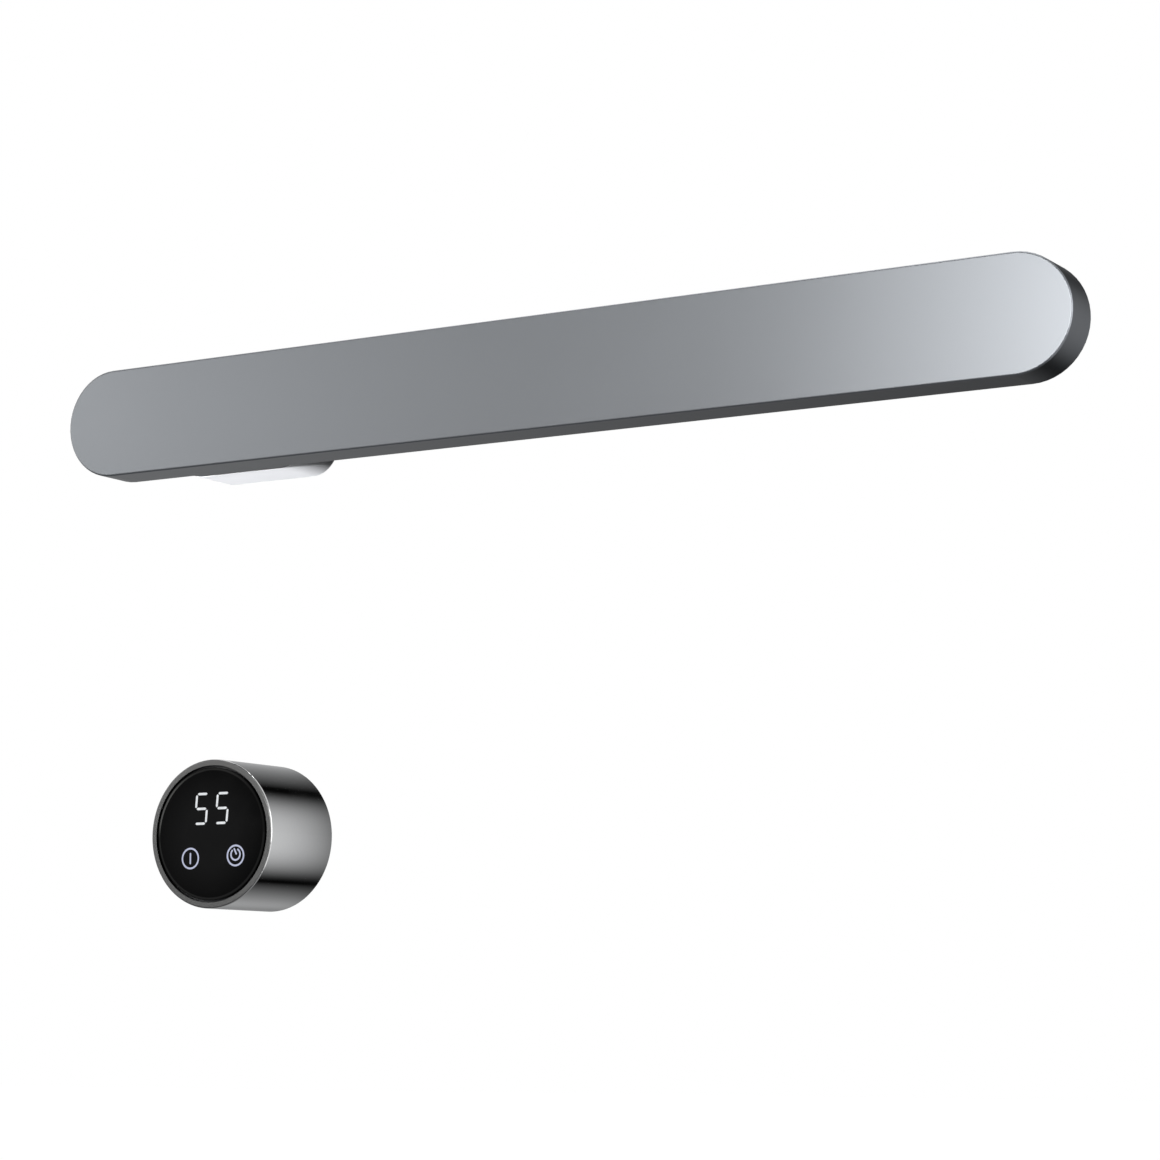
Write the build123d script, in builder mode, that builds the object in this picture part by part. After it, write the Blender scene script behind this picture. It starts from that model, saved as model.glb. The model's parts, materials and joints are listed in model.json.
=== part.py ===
from build123d import *
from math import pi
import os

os.makedirs("parts", exist_ok=True)

# Heated towel rail in two units on one wall: a flat bar held out by a hollow post behind its
# left end, and below it a round control whose sleeve turns on a fixed glass-fronted housing.
# Millimetres. The wall is the plane y = 0 with the room on its -Y side, +X is to the right and
# +Z is up. The origin is the centre of the bar's bracket on the wall. "Out" in a comment or a
# name is the distance from the wall into the room.

# Clearances and cuts that many pieces share
overrun = 1.0
seat_gap = 0.1
hole_gap = 0.25
thread_gap = 0.05
run_gap = 0.05
end_float = 0.2
seam_chamfer = 0.3

# Bar: the outline that shows, and its place on the wall
bar_length = 600.0
bar_height = 60.0
bar_depth = 23.0
towel_space = 93.0
shell_skin = 1.5
shell_edge_round = 1.0
cover_thickness = 2.0
cover_edge_gap = 0.25

# Post, collar and bracket between the wall and the bar
mount_length = 91.0
mount_height = 35.0
mount_skin = 3.0
collar_depth = 31.5
post_end_thickness = 4.0
bracket_gap = 0.15
bracket_skin = 3.0
bracket_plate = 4.0
bracket_end_gap = 5.5
wall_screw_margin = 4.85
wall_screw_hole = 2.25
cable_hole = 7.0
grommet_bore = 4.5
grommet_flange_width = 2.0
grommet_flange_thickness = 1.5

# Screws through the post's end into the bar
post_screw_end_margin = 12.5
post_screw_side_margin = 6.5
post_screw_radius = 2.5
post_screw_head = 4.25
post_screw_head_height = 3.5
post_screw_socket = 1.5
post_screw_socket_depth = 2.0
post_screw_show = 0.8

# Inner pan, shell studs and cover fixings
pan_gap = 1.0
pan_skin = 2.5
pan_depth = 6.0
pan_web = 3.0
stud_column_count = 4
stud_radius = 2.0
stud_margin = 10.5
stud_tip = 1.0
nut_flat = 3.5
nut_corner_share = 1.1547
nut_height = 3.2
nut_edge_gap = 0.95
spacer_radius = 4.0
pillar_radius = 3.0
cover_screw_radius = 1.5
cover_screw_head = 2.8
cover_screw_length = 6.0
cover_screw_socket = 1.0
cover_screw_socket_depth = 1.2

# Heater behind the front face
mat_edge = 3.0
mat_sheet = 0.8
track_thickness = 0.4
track_width_share = 0.6
track_run_count = 6
track_edge = 0.7
track_reach = 12.0
track_corner_share = 0.4
spreader_thickness = 1.5
solder_window = 1.5

# Leads, fuse, sensor and the lead cap on the heater
lead_radius = 1.1
lead_lane = 5.0
lead_bend = 10.0
lead_ease = 12.0
pole_count = 4
pole_pitch = 7.0
passage_length = 24.0
passage_height = 17.0
bush_flange_width = 1.5
bush_flange_thickness = 1.5
cap_from_mount = 128.0
cap_length = 20.0
cap_width = 15.0
cap_height = 6.0
cap_corner = 2.0
cap_gap = 0.5
pigtail_length = 10.0
pigtail_radius = 0.6
fuse_length = 13.0
fuse_radius = 2.25
sensor_length = 11.0
sensor_width = 5.0
sensor_thickness = 4.5

# Terminal block in the bracket and the earth connection in the post
terminal_reach = 44.0
terminal_depth = 14.0
terminal_body = 34.0
terminal_ears = 46.0
terminal_height = 12.0
ear_thickness = 4.0
ear_screw_across = 40.0
ear_screw_radius = 1.5
ear_screw_head = 2.75
ear_screw_head_height = 2.0
ear_screw_length = 10.0
ear_boss_radius = 3.5
pole_screw_radius = 1.6
pole_screw_height = 1.0
pole_slot = 0.5
earth_screw_across = 20.0
earth_screw_radius = 2.0
earth_screw_head = 3.5
earth_screw_head_height = 2.6
earth_lug_radius = 4.0
earth_lug_thickness = 0.8
earth_lug_reach = 6.0
earth_lug_width = 3.2
earth_barrel_radius = 1.6
earth_barrel_length = 8.0
grub_across = 40.0
grub_out_share = 0.45
grub_radius = 2.5
grub_recess = 0.2
grub_socket = 1.25
grub_socket_depth = 1.8

# Control: the outline that shows, and its place on the wall
control_offset = 3.3
control_drop = 227.1
control_radius = 41.7
control_depth = 59.5
sleeve_skin = 2.45
sleeve_wall_gap = 1.0
sleeve_front_round = 1.0
sleeve_rear_chamfer = 0.4
rim_width = 3.3
lip_depth = 3.0
glass_gap = 1.4
glass_thickness = 3.0
glass_bevel_width = 1.4
glass_bevel_depth = 0.25

# Control: housing and turning parts
seal_thickness = 0.3
seal_width = 6.5
front_wall = 1.7
glide_thickness = 2.2
glide_width = 4.0
flange_thickness = 1.5
flange_gap = 0.65
housing_skin = 2.0
ring_gear_band = 3.25
ring_gear_side = 0.5
ring_tooth_count = 72
wheel_tooth_count = 20
tooth_gap = 0.7
tooth_tip_share = 0.8
tooth_root_share = 1.0
tooth_width_share = 0.46
tooth_narrowing_share = 0.36
wheel_thickness = 3.0
wheel_room = 0.7
wheel_shaft = 2.0
wheel_shaft_engagement = 4.0
encoder_side = 11.0
encoder_height = 6.5
encoder_gap = 1.2

# Control: wall plate, base and their fixings
plate_thickness = 2.0
plate_margin = 0.5
head_room = 4.0
base_thickness = 3.0
base_gap = 0.3
hub_radius = 12.5
hub_skin = 2.0
hub_shoulder = 17.0
hub_lug_length = 2.0
hub_lug_width = 6.0
hub_lug_height = 1.6
hub_lug_count = 3
hub_lug_turn_angle = 60.0
control_screw_across = 60.0
control_screw_hole = 2.2
control_grommet_depth = 3.0
control_grommet_bore = 5.0
base_screw_radius = 1.25
base_screw_head = 2.4
base_screw_length = 9.0
base_screw_socket = 0.8
base_screw_socket_depth = 1.0
base_screw_start_angle = 30.0
base_screw_count = 3
base_boss_radius = 3.0
base_boss_sink = 0.5
base_boss_height = 8.0

# Control: boards and what stands on them
board_gap = 1.0
board_thickness = 1.6
board_pillar_radius = 2.75
board_pillar_stud = 1.25
board_pillar_stud_length = 6.0
board_boss_radius = 3.0
board_screw_count = 4
board_screw_start_angle = 45.0
board_screw_head = 2.3
board_screw_head_height = 1.6
board_screw_length = 6.0
led_length = 26.0
led_width = 20.0
led_height = 8.2
led_gap = 0.7
touch_spring_radius = 3.0
touch_spring_skin = 0.6
touch_spring_room = 0.4
buzzer_radius = 4.5
buzzer_height = 5.0
buzzer_drop = 10.0
link_length = 16.0
link_width = 2.5
link_drop = 22.0
relay_length = 19.0
relay_width = 15.5
relay_height = 15.3
relay_left = 11.5
relay_up = 4.0
supply_length = 16.0
supply_width = 22.0
supply_height = 14.0
supply_right = 11.0
supply_up = 3.0
capacitor_radius = 5.0
capacitor_height = 14.0
capacitor_left = 8.0
capacitor_down = 12.0
varistor_radius = 5.0
varistor_thickness = 3.5
varistor_right = 8.0
varistor_down = 14.0
varistor_stand = 5.8
control_terminal_length = 26.0
control_terminal_width = 10.0
control_terminal_height = 8.5
control_pole_count = 5
control_pole_pitch = 5.0
control_pole_radius = 1.6
control_pole_depth = 4.0
block_chamfer = 0.5

# Marks on the glass, let in flush
inlay_depth = 0.2
digit_up = 14.1
digit_apart = 14.4
digit_shift = 0.25
digit_width = 7.6
digit_height = 16.6
digit_slant_share = 0.08
segment_width = 1.35
segment_end_gap = 0.45
key_ring_radius = 6.05
key_stroke = 1.0
power_key_left = 14.1
power_key_down = 13.5
power_bar_length = 6.4
timer_key_right = 17.15
timer_key_down = 12.6
timer_dial_radius = 3.6
timer_dial_up = 0.6
timer_dial_open_angle = 63.0
timer_dial_turn_angle = 8.5
timer_hand_length = 4.1
timer_hand_left = 0.2
timer_hand_up = 2.3
timer_hand_lean_angle = 27.0

# Places that follow from the sizes above
bar_back = towel_space
bar_front = bar_back + bar_depth
mount_margin = (bar_height - mount_height) / 2
bar_centre = bar_length / 2 - mount_length / 2 - mount_margin
arc_left = bar_centre - bar_length / 2 + bar_height / 2
arc_right = bar_centre + bar_length / 2 - bar_height / 2
shell_inside = bar_front - shell_skin
cavity_length = bar_length - 2 * shell_skin
cavity_height = bar_height - 2 * shell_skin
track_front = shell_inside - mat_sheet
track_back = track_front - track_thickness
mat_back = track_back - mat_sheet
spreader_back = mat_back - spreader_thickness
cover_front = bar_back + cover_thickness
web_back = cover_front + pan_depth
web_front = web_back + pan_web
pan_length = cavity_length - 2 * pan_gap
pan_height = cavity_height - 2 * pan_gap
stud_row = pan_height / 2 - pan_skin - nut_flat * nut_corner_share - nut_edge_gap
stud_first = mount_length / 2 + stud_margin
stud_last = arc_right - stud_margin
stud_middle = (stud_first + stud_last) / 2
stud_pitch = (stud_last - stud_first) / (stud_column_count - 1)
stud_hole = stud_radius + seat_gap
stud_back = web_back - nut_height - stud_tip
track_half_runs = track_run_count / 2
track_pitch = (stud_row - stud_hole - track_edge) / (track_half_runs - 0.5 + track_width_share / 2)
track_width = track_pitch * track_width_share
sheet_length = cavity_length - 2 * mat_edge
sheet_height = cavity_height - 2 * mat_edge
sleeve_length = mount_length - 2 * mount_skin
sleeve_height = mount_height - 2 * mount_skin
core_length = sleeve_length - 2 * bracket_gap
core_height = sleeve_height - 2 * bracket_gap
core_bore_length = core_length - 2 * bracket_skin
core_bore_height = core_height - 2 * bracket_skin
wall_screw_across = core_bore_length - core_bore_height
wall_screw_up = core_bore_height - 2 * wall_screw_margin
post_end = bar_back - post_end_thickness
post_screw_across = sleeve_length - 2 * post_screw_end_margin
post_screw_up = sleeve_height - 2 * post_screw_side_margin
bracket_reach = post_end - post_screw_head_height - bracket_end_gap
lane_out = spreader_back - fuse_radius
lead_middle = -pole_pitch / 2
fuse_left = cap_from_mount - cap_length / 2 - pigtail_length - fuse_length


def wall_plane(out, across=0.0, up=0.0):
    """Plane parallel to the wall that faces the room."""
    return Plane(origin=(across, -out, up), x_dir=(1, 0, 0), z_dir=(0, -1, 0))


def facing_wall(out, across=0.0, up=0.0):
    """Plane parallel to the wall that faces the wall."""
    return Plane(origin=(across, -out, up), x_dir=(1, 0, 0), z_dir=(0, 1, 0))


def stud_places():
    return GridLocations(stud_pitch, 2 * stud_row, stud_column_count, 2)


def pillar_places():
    return GridLocations(stud_pitch, 2 * stud_row, stud_column_count - 1, 2)


def post_screw_places():
    return GridLocations(post_screw_across, post_screw_up, 2, 2)


# Front shell of the bar: one deep stadium tray with weld studs inside its front
with BuildPart() as bar_front_shell:
    with BuildSketch(wall_plane(bar_back, bar_centre)):
        SlotOverall(bar_length, bar_height)
    extrude(amount=bar_depth)
    fillet(bar_front_shell.faces().sort_by(Axis.Y)[0].edges(), shell_edge_round)
    with BuildSketch(wall_plane(bar_back, bar_centre)):
        SlotOverall(cavity_length, cavity_height)
    extrude(amount=bar_depth - shell_skin, mode=Mode.SUBTRACT)
    with BuildSketch(wall_plane(stud_back, stud_middle)):
        with stud_places():
            Circle(stud_radius)
    extrude(amount=shell_inside - stud_back)

# Rear cover, let into the shell and flush with its back edge
with BuildPart() as bar_rear_cover:
    with BuildSketch(wall_plane(bar_back, bar_centre)):
        SlotOverall(cavity_length - 2 * cover_edge_gap, cavity_height - 2 * cover_edge_gap)
    extrude(amount=cover_thickness)
    with BuildSketch(wall_plane(bar_back)):
        with Locations((lead_middle, 0)):
            SlotOverall(passage_length, passage_height)
        with post_screw_places():
            Circle(post_screw_radius + hole_gap)
    extrude(amount=cover_thickness, mode=Mode.SUBTRACT)
    with Locations(facing_wall(bar_back, stud_middle)):
        with pillar_places():
            CounterSinkHole(cover_screw_radius + hole_gap, cover_screw_head + hole_gap,
                            cover_thickness, counter_sink_angle=90)

# Inner pan that carries the shell and takes the bar's weight to the post
with BuildPart() as bar_inner_pan:
    with BuildSketch(wall_plane(cover_front, bar_centre)):
        SlotOverall(pan_length, pan_height)
    extrude(amount=pan_depth + pan_web)
    with BuildSketch(wall_plane(cover_front, bar_centre)):
        SlotOverall(pan_length - 2 * pan_skin, pan_height - 2 * pan_skin)
    extrude(amount=pan_depth, mode=Mode.SUBTRACT)
    with BuildSketch(wall_plane(web_back)):
        with Locations((lead_middle, 0)):
            SlotOverall(passage_length, passage_height)
        with post_screw_places():
            Circle(post_screw_radius + thread_gap)
        with Locations((cap_from_mount, 0)):
            Rectangle(cap_length + cap_width, cap_width + 2 * cap_gap)
        with Locations((stud_middle, 0)):
            with stud_places():
                Circle(stud_hole)
    extrude(amount=pan_web, mode=Mode.SUBTRACT)

# Thick block in the pan that the post's screws thread into
with BuildPart() as post_anchor_block:
    with BuildSketch(wall_plane(cover_front)):
        SlotOverall(sleeve_length, sleeve_height)
        with Locations((lead_middle, 0)):
            SlotOverall(passage_length, passage_height, mode=Mode.SUBTRACT)
        with post_screw_places():
            Circle(post_screw_radius + thread_gap, mode=Mode.SUBTRACT)
    extrude(amount=pan_depth)

# Spacer tubes on the studs press the heater against the front
with BuildPart() as stud_spacers:
    with BuildSketch(wall_plane(web_front, stud_middle)):
        with stud_places():
            Circle(spacer_radius)
            Circle(stud_hole, mode=Mode.SUBTRACT)
    extrude(amount=spreader_back - web_front)

# Nuts on the studs hold the pan
with BuildPart() as stud_nuts:
    with BuildSketch(wall_plane(web_back - nut_height, stud_middle)):
        with stud_places():
            RegularPolygon(nut_flat, 6, major_radius=False)
            Circle(stud_radius + thread_gap, mode=Mode.SUBTRACT)
    extrude(amount=nut_height)

# Threaded pillars between the pan and the rear cover
with BuildPart() as cover_pillars:
    with BuildSketch(wall_plane(cover_front, stud_middle)):
        with pillar_places():
            Circle(pillar_radius)
            Circle(cover_screw_radius + thread_gap, mode=Mode.SUBTRACT)
    extrude(amount=pan_depth)

# Countersunk screws in the rear cover
with BuildPart() as cover_screws:
    with BuildSketch(wall_plane(bar_back, stud_middle)):
        with pillar_places():
            Circle(cover_screw_head)
    extrude(amount=cover_screw_head - cover_screw_radius, taper=45)
    with BuildSketch(wall_plane(bar_back, stud_middle)):
        with pillar_places():
            Circle(cover_screw_radius)
    extrude(amount=cover_screw_length)
    with BuildSketch(wall_plane(bar_back, stud_middle)):
        with pillar_places():
            RegularPolygon(cover_screw_socket, 6, major_radius=False)
    extrude(amount=cover_screw_socket_depth, mode=Mode.SUBTRACT)

# Front sheet of the heater mat, bonded to the shell
with BuildPart() as heater_front_sheet:
    with BuildSketch(wall_plane(track_front, bar_centre)):
        SlotOverall(sheet_length, sheet_height)
    extrude(amount=mat_sheet)
    with BuildSketch(wall_plane(track_front, stud_middle)):
        with stud_places():
            Circle(stud_hole)
    extrude(amount=mat_sheet, mode=Mode.SUBTRACT)

# Etched heating track: runs along the bar joined by turns, both ends under the lead cap
track_lanes = [track_pitch * (run + 0.5) for run in range(track_run_count // 2)]
track_left = arc_left - track_reach
track_right = arc_right + track_reach
inner_lane, middle_lane, outer_lane = track_lanes
upper_route = [
    (cap_from_mount, inner_lane),
    (track_right - track_pitch, inner_lane),
    (track_right - track_pitch, middle_lane),
    (track_left, middle_lane),
    (track_left, outer_lane),
    (track_right, outer_lane),
]
lower_route = [(across, -up) for across, up in reversed(upper_route)]
with BuildPart() as heater_track:
    with BuildSketch(wall_plane(track_back)):
        with BuildLine():
            FilletPolyline(*upper_route, *lower_route, radius=track_pitch * track_corner_share)
        trace(line_width=track_width)
    extrude(amount=track_thickness)

# Rear sheet of the heater mat with two windows for the soldered lead ends
with BuildPart() as heater_rear_sheet:
    with BuildSketch(wall_plane(mat_back, bar_centre)):
        SlotOverall(sheet_length, sheet_height)
    extrude(amount=mat_sheet)
    with BuildSketch(wall_plane(mat_back)):
        with Locations((stud_middle, 0)):
            with stud_places():
                Circle(stud_hole)
        with Locations((cap_from_mount, inner_lane), (cap_from_mount, -inner_lane)):
            Circle(solder_window)
    extrude(amount=mat_sheet, mode=Mode.SUBTRACT)

# Plate that backs the heater and spreads its heat
with BuildPart() as heat_spreader:
    with BuildSketch(wall_plane(spreader_back, bar_centre)):
        SlotOverall(sheet_length, sheet_height)
    extrude(amount=spreader_thickness)
    with BuildSketch(wall_plane(spreader_back)):
        with Locations((stud_middle, 0)):
            with stud_places():
                Circle(stud_hole)
        with Locations((cap_from_mount, 0)):
            RectangleRounded(cap_length + 2 * cap_gap, cap_width + 2 * cap_gap, cap_corner)
    extrude(amount=spreader_thickness, mode=Mode.SUBTRACT)

# Moulded cap over the joints between the heater and its leads
with BuildPart() as heater_lead_cap:
    with BuildSketch(wall_plane(mat_back - cap_height, cap_from_mount)):
        RectangleRounded(cap_length, cap_width, cap_corner)
    extrude(amount=cap_height)

# Thermal fuse on the spreader, with its pigtail from the cap
with BuildPart() as thermal_fuse:
    with BuildSketch(Plane(origin=(fuse_left, -lane_out, lead_lane), z_dir=(1, 0, 0))):
        Circle(fuse_radius)
    extrude(amount=fuse_length)
    with BuildSketch(Plane(origin=(fuse_left + fuse_length, -lane_out, lead_lane), z_dir=(1, 0, 0))):
        Circle(pigtail_radius)
    extrude(amount=pigtail_length)

# Temperature sensor bonded to the spreader
with BuildPart() as temperature_sensor:
    with BuildSketch(wall_plane(spreader_back - sensor_thickness, fuse_left, -lead_lane)):
        Rectangle(sensor_length, sensor_width, align=(Align.MIN, Align.CENTER))
    extrude(amount=sensor_thickness)

# Live and neutral leads from the heater to the terminal block
ease_start = post_end - bush_flange_thickness - lead_ease
ease_end = terminal_reach + lead_ease
live_pole, neutral_pole, sensor_pole, earth_pole = [
    pole_pitch * (pole - (pole_count - 1) / 2) for pole in range(pole_count)
]
with BuildPart() as live_lead:
    with BuildLine() as live_route:
        FilletPolyline(
            (fuse_left, -lane_out, lead_lane),
            (live_pole, -lane_out, lead_lane),
            (live_pole, -ease_start, lead_lane),
            (live_pole, -ease_end, 0),
            (live_pole, -terminal_reach, 0),
            radius=[lead_bend, lead_ease, lead_ease],
        )
    with BuildSketch(Plane(origin=live_route.line @ 0, z_dir=live_route.line % 0)):
        Circle(lead_radius)
    sweep(path=live_route.line)

with BuildPart() as neutral_lead:
    with BuildLine() as neutral_route:
        FilletPolyline(
            (cap_from_mount - cap_length / 2, -lane_out, 0),
            (neutral_pole, -lane_out, 0),
            (neutral_pole, -terminal_reach, 0),
            radius=lead_bend,
        )
    with BuildSketch(Plane(origin=neutral_route.line @ 0, z_dir=neutral_route.line % 0)):
        Circle(lead_radius)
    sweep(path=neutral_route.line)

# Two-core lead of the sensor
with BuildPart() as sensor_lead:
    with BuildLine() as sensor_route:
        FilletPolyline(
            (fuse_left, -lane_out, -lead_lane),
            (sensor_pole, -lane_out, -lead_lane),
            (sensor_pole, -ease_start, -lead_lane),
            (sensor_pole, -ease_end, 0),
            (sensor_pole, -terminal_reach, 0),
            radius=[lead_bend, lead_ease, lead_ease],
        )
    with BuildSketch(Plane(origin=sensor_route.line @ 0, z_dir=sensor_route.line % 0)):
        Circle(lead_radius)
    sweep(path=sensor_route.line)

# Rubber bush that leads the wires through the post's end
bush_length = passage_length - 2 * seat_gap
bush_height = passage_height - 2 * seat_gap
with BuildPart() as lead_bush:
    with BuildSketch(wall_plane(post_end, lead_middle)):
        SlotOverall(bush_length, bush_height)
    extrude(amount=post_end_thickness)
    with BuildSketch(wall_plane(post_end - bush_flange_thickness, lead_middle)):
        SlotOverall(passage_length + 2 * bush_flange_width, passage_height + 2 * bush_flange_width)
    extrude(amount=bush_flange_thickness)
    with BuildSketch(wall_plane(post_end - bush_flange_thickness)):
        with Locations((live_pole, lead_lane), (neutral_pole, 0), (sensor_pole, -lead_lane)):
            Circle(lead_radius + seat_gap)
    extrude(amount=post_end_thickness + bush_flange_thickness, mode=Mode.SUBTRACT)

# Hollow post, closed at the bar by an end wall
grub_out = collar_depth + (bar_back - collar_depth) * grub_out_share
with BuildPart() as mount_post:
    with BuildSketch(wall_plane(collar_depth)):
        SlotOverall(mount_length, mount_height)
    extrude(amount=bar_back - collar_depth)
    chamfer(mount_post.faces().sort_by(Axis.Y)[-1].edges(), seam_chamfer)
    with BuildSketch(wall_plane(collar_depth)):
        SlotOverall(sleeve_length, sleeve_height)
    extrude(amount=post_end - collar_depth, mode=Mode.SUBTRACT)
    with BuildSketch(wall_plane(post_end)):
        with Locations((lead_middle, 0)):
            SlotOverall(passage_length, passage_height)
        with post_screw_places():
            Circle(post_screw_radius + hole_gap)
        with Locations((earth_screw_across, 0)):
            Circle(earth_screw_radius + thread_gap)
    extrude(amount=post_end_thickness, mode=Mode.SUBTRACT)
    with BuildSketch(Plane(origin=(0, -grub_out, -mount_height / 2), z_dir=(0, 0, 1))):
        with GridLocations(grub_across, 0, 2, 1):
            Circle(grub_radius + thread_gap)
    extrude(amount=mount_skin + overrun, mode=Mode.SUBTRACT)

# Screws that hold the bar to the post, put in from inside the post
with BuildPart() as post_screws:
    with BuildSketch(wall_plane(post_end - post_screw_head_height)):
        with post_screw_places():
            Circle(post_screw_head)
    extrude(amount=post_screw_head_height)
    with BuildSketch(wall_plane(post_end)):
        with post_screw_places():
            Circle(post_screw_radius)
    extrude(amount=web_front + post_screw_show - post_end)
    with BuildSketch(wall_plane(post_end - post_screw_head_height)):
        with post_screw_places():
            RegularPolygon(post_screw_socket, 6, major_radius=False)
    extrude(amount=post_screw_socket_depth, mode=Mode.SUBTRACT)

# Bright collar between the wall and the post
with BuildPart() as wall_collar:
    with BuildSketch(wall_plane(0)):
        SlotOverall(mount_length, mount_height)
    extrude(amount=collar_depth)
    chamfer(wall_collar.faces().sort_by(Axis.Y)[0].edges(), seam_chamfer)
    with BuildSketch(wall_plane(0)):
        SlotOverall(sleeve_length, sleeve_height)
    extrude(amount=collar_depth, mode=Mode.SUBTRACT)

# Wall bracket: a plate on the wall with a hollow core that the post slides over
ear_boss_height = terminal_reach - terminal_depth - bracket_plate
with BuildPart() as wall_bracket:
    with BuildSketch(wall_plane(0)):
        SlotOverall(core_length, core_height)
    extrude(amount=bracket_reach)
    with BuildSketch(wall_plane(bracket_plate)):
        SlotOverall(core_bore_length, core_bore_height)
    extrude(amount=bracket_reach - bracket_plate, mode=Mode.SUBTRACT)
    with BuildSketch(wall_plane(bracket_plate)):
        with GridLocations(ear_screw_across, 0, 2, 1):
            Circle(ear_boss_radius)
    extrude(amount=ear_boss_height)
    with BuildSketch(wall_plane(bracket_plate)):
        with GridLocations(ear_screw_across, 0, 2, 1):
            Circle(ear_screw_radius + thread_gap)
    extrude(amount=ear_boss_height, mode=Mode.SUBTRACT)
    with BuildSketch(wall_plane(0)):
        Circle(cable_hole)
        with GridLocations(wall_screw_across, wall_screw_up, 2, 2):
            Circle(wall_screw_hole)
    extrude(amount=bracket_plate, mode=Mode.SUBTRACT)

# Grub screws under the post that lock it to the bracket's core
grub_foot = core_height / 2
grub_face = mount_height / 2 - grub_recess
with BuildPart() as post_grub_screws:
    with BuildSketch(Plane(origin=(0, -grub_out, -grub_face), z_dir=(0, 0, 1))):
        with GridLocations(grub_across, 0, 2, 1):
            Circle(grub_radius)
            RegularPolygon(grub_socket, 6, major_radius=False, mode=Mode.SUBTRACT)
    extrude(amount=grub_socket_depth)
    with BuildSketch(Plane(origin=(0, -grub_out, grub_socket_depth - grub_face), z_dir=(0, 0, 1))):
        with GridLocations(grub_across, 0, 2, 1):
            Circle(grub_radius)
    extrude(amount=grub_face - grub_foot - grub_socket_depth)

# Grommet in the bracket's cable hole
with BuildPart() as bracket_grommet:
    with BuildSketch(wall_plane(0)):
        Circle(cable_hole - seat_gap)
    extrude(amount=bracket_plate)
    with BuildSketch(wall_plane(bracket_plate)):
        Circle(cable_hole + grommet_flange_width)
    extrude(amount=grommet_flange_thickness)
    with BuildSketch(wall_plane(0)):
        Circle(grommet_bore)
    extrude(amount=bracket_plate + grommet_flange_thickness, mode=Mode.SUBTRACT)

# Terminal block on the bracket's two bosses
terminal_back = terminal_reach - terminal_depth
with BuildPart() as bracket_terminal_block:
    with BuildSketch(wall_plane(terminal_back)):
        Rectangle(terminal_body, terminal_height)
    extrude(amount=terminal_depth)
    chamfer(bracket_terminal_block.edges().filter_by(Axis.Y), block_chamfer)
    with BuildSketch(wall_plane(terminal_back)):
        SlotOverall(terminal_ears, terminal_height / 2)
        with GridLocations(ear_screw_across, 0, 2, 1):
            Circle(ear_screw_radius + hole_gap, mode=Mode.SUBTRACT)
    extrude(amount=ear_thickness)
    with BuildSketch(Plane(origin=(0, -(terminal_back + terminal_depth / 2), terminal_height / 2),
                           z_dir=(0, 0, -1))):
        with GridLocations(pole_pitch, 0, pole_count, 1):
            Circle(pole_screw_radius + seat_gap)
    extrude(amount=pole_screw_height, mode=Mode.SUBTRACT)

# Screws through the block's ears
with BuildPart() as terminal_ear_screws:
    with BuildSketch(wall_plane(terminal_back + ear_thickness)):
        with GridLocations(ear_screw_across, 0, 2, 1):
            Circle(ear_screw_head)
    extrude(amount=ear_screw_head_height)
    with BuildSketch(wall_plane(terminal_back + ear_thickness - ear_screw_length)):
        with GridLocations(ear_screw_across, 0, 2, 1):
            Circle(ear_screw_radius)
    extrude(amount=ear_screw_length)

# Clamping screws of the four poles
with BuildPart() as terminal_pole_screws:
    with BuildSketch(Plane(origin=(0, -(terminal_back + terminal_depth / 2), terminal_height / 2),
                           z_dir=(0, 0, -1))):
        with GridLocations(pole_pitch, 0, pole_count, 1):
            Circle(pole_screw_radius)
    extrude(amount=pole_screw_height)
    with BuildSketch(Plane(origin=(0, -(terminal_back + terminal_depth / 2), terminal_height / 2),
                           z_dir=(0, 0, -1))):
        with GridLocations(pole_pitch, 0, pole_count, 1):
            Rectangle(2 * pole_screw_radius, pole_slot)
    extrude(amount=pole_screw_height / 2, mode=Mode.SUBTRACT)

# Earth lug under its screw on the post's end wall
lug_face = post_end - earth_lug_thickness
barrel_across = earth_screw_across - earth_lug_reach
with BuildPart() as earth_lug:
    with BuildSketch(wall_plane(lug_face)):
        with Locations((earth_screw_across, 0)):
            Circle(earth_lug_radius)
        with Locations((barrel_across, 0)):
            Rectangle(earth_lug_reach, earth_lug_width, align=(Align.MIN, Align.CENTER))
            Circle(earth_barrel_radius)
        with Locations((earth_screw_across, 0)):
            Circle(earth_screw_radius + hole_gap, mode=Mode.SUBTRACT)
    extrude(amount=earth_lug_thickness)
    with BuildSketch(wall_plane(lug_face - earth_barrel_length, barrel_across)):
        Circle(earth_barrel_radius)
    extrude(amount=earth_barrel_length)

with BuildPart() as earth_screw:
    with BuildSketch(wall_plane(lug_face - earth_screw_head_height, earth_screw_across)):
        Circle(earth_screw_head)
    extrude(amount=earth_screw_head_height)
    with BuildSketch(wall_plane(lug_face, earth_screw_across)):
        Circle(earth_screw_radius)
    extrude(amount=earth_lug_thickness + post_end_thickness)
    with BuildSketch(wall_plane(lug_face - earth_screw_head_height, earth_screw_across)):
        Rectangle(2 * earth_screw_radius, pole_slot)
        Rectangle(pole_slot, 2 * earth_screw_radius)
    extrude(amount=earth_screw_head_height / 2, mode=Mode.SUBTRACT)

# Earth lead from the lug to the terminal block
barrel_end = lug_face - earth_barrel_length
with BuildPart() as earth_lead:
    with BuildLine() as earth_route:
        FilletPolyline(
            (barrel_across, -barrel_end, 0),
            (barrel_across, lead_ease / 2 - barrel_end, 0),
            (earth_pole, -ease_end, 0),
            (earth_pole, -terminal_reach, 0),
            radius=lead_ease,
        )
    with BuildSketch(Plane(origin=earth_route.line @ 0, z_dir=earth_route.line % 0)):
        Circle(lead_radius)
    sweep(path=earth_route.line)

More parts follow.
